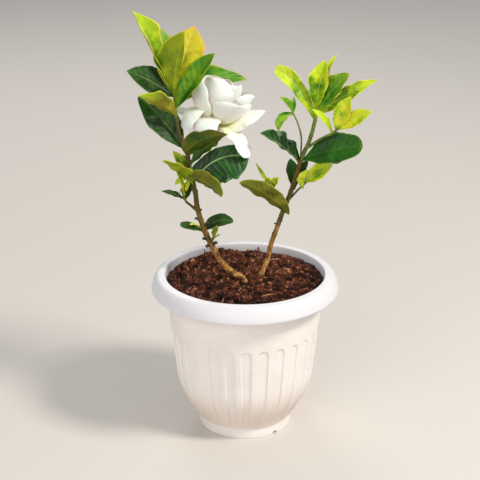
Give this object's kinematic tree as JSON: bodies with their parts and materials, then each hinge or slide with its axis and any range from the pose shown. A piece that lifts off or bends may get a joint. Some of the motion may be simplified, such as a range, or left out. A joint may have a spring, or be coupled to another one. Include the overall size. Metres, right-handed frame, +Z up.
{
  "type": "potted gardenia plant",
  "caption": "Flowering gardenia with a white double bloom on woody stems, growing in soil in a round white fluted plastic pot.",
  "frame": {"origin": "on the pot's axis, at the surface the pot stands on", "axes": "+Z up along the pot's axis, -Y to the front, where the picture was taken from, +X to the right as seen from there"},
  "size_m": [0.2519, 0.1998, 0.4558],
  "materials": {
    "pot_plastic": "satin white moulded plastic",
    "soil": "damp dark peat with coarse fibres",
    "bark": "matt brown bark",
    "leaf": "glossy dark green upper side, paler matt underside",
    "young_leaf": "satin bright yellow-green",
    "old_leaf": "dull olive",
    "petal": "soft matt white",
    "calyx": "satin green"
  },
  "bodies": {
    "root": {"pot": "pot_plastic", "soil": "soil", "left_stem": "bark", "right_stem": "bark", "left_tip_leaves": "leaf", "right_tip_leaves": "young_leaf", "left_leaf_dark": "leaf", "left_leaf_under_bloom": "leaf", "left_leaf_folded": "leaf", "left_leaf_pair": "old_leaf", "right_large_leaf": "leaf", "right_glossy_leaf": "leaf", "right_low_leaf": "old_leaf", "left_leaf_broad": "leaf", "left_pale_shoot": "young_leaf", "left_side_shoot": "leaf", "left_small_leaf": "leaf", "left_low_leaf_a": "leaf", "left_low_leaf_b": "leaf", "left_bud_leaf": "young_leaf", "right_side_shoot": "young_leaf", "right_thin_shoot": "young_leaf", "right_back_leaf_a": "leaf", "right_back_leaf_b": "leaf", "right_low_shoot": "young_leaf", "right_tuft": "young_leaf", "bloom_petals": "petal", "bloom_stalk": "calyx"}
  },
  "joints": []
}
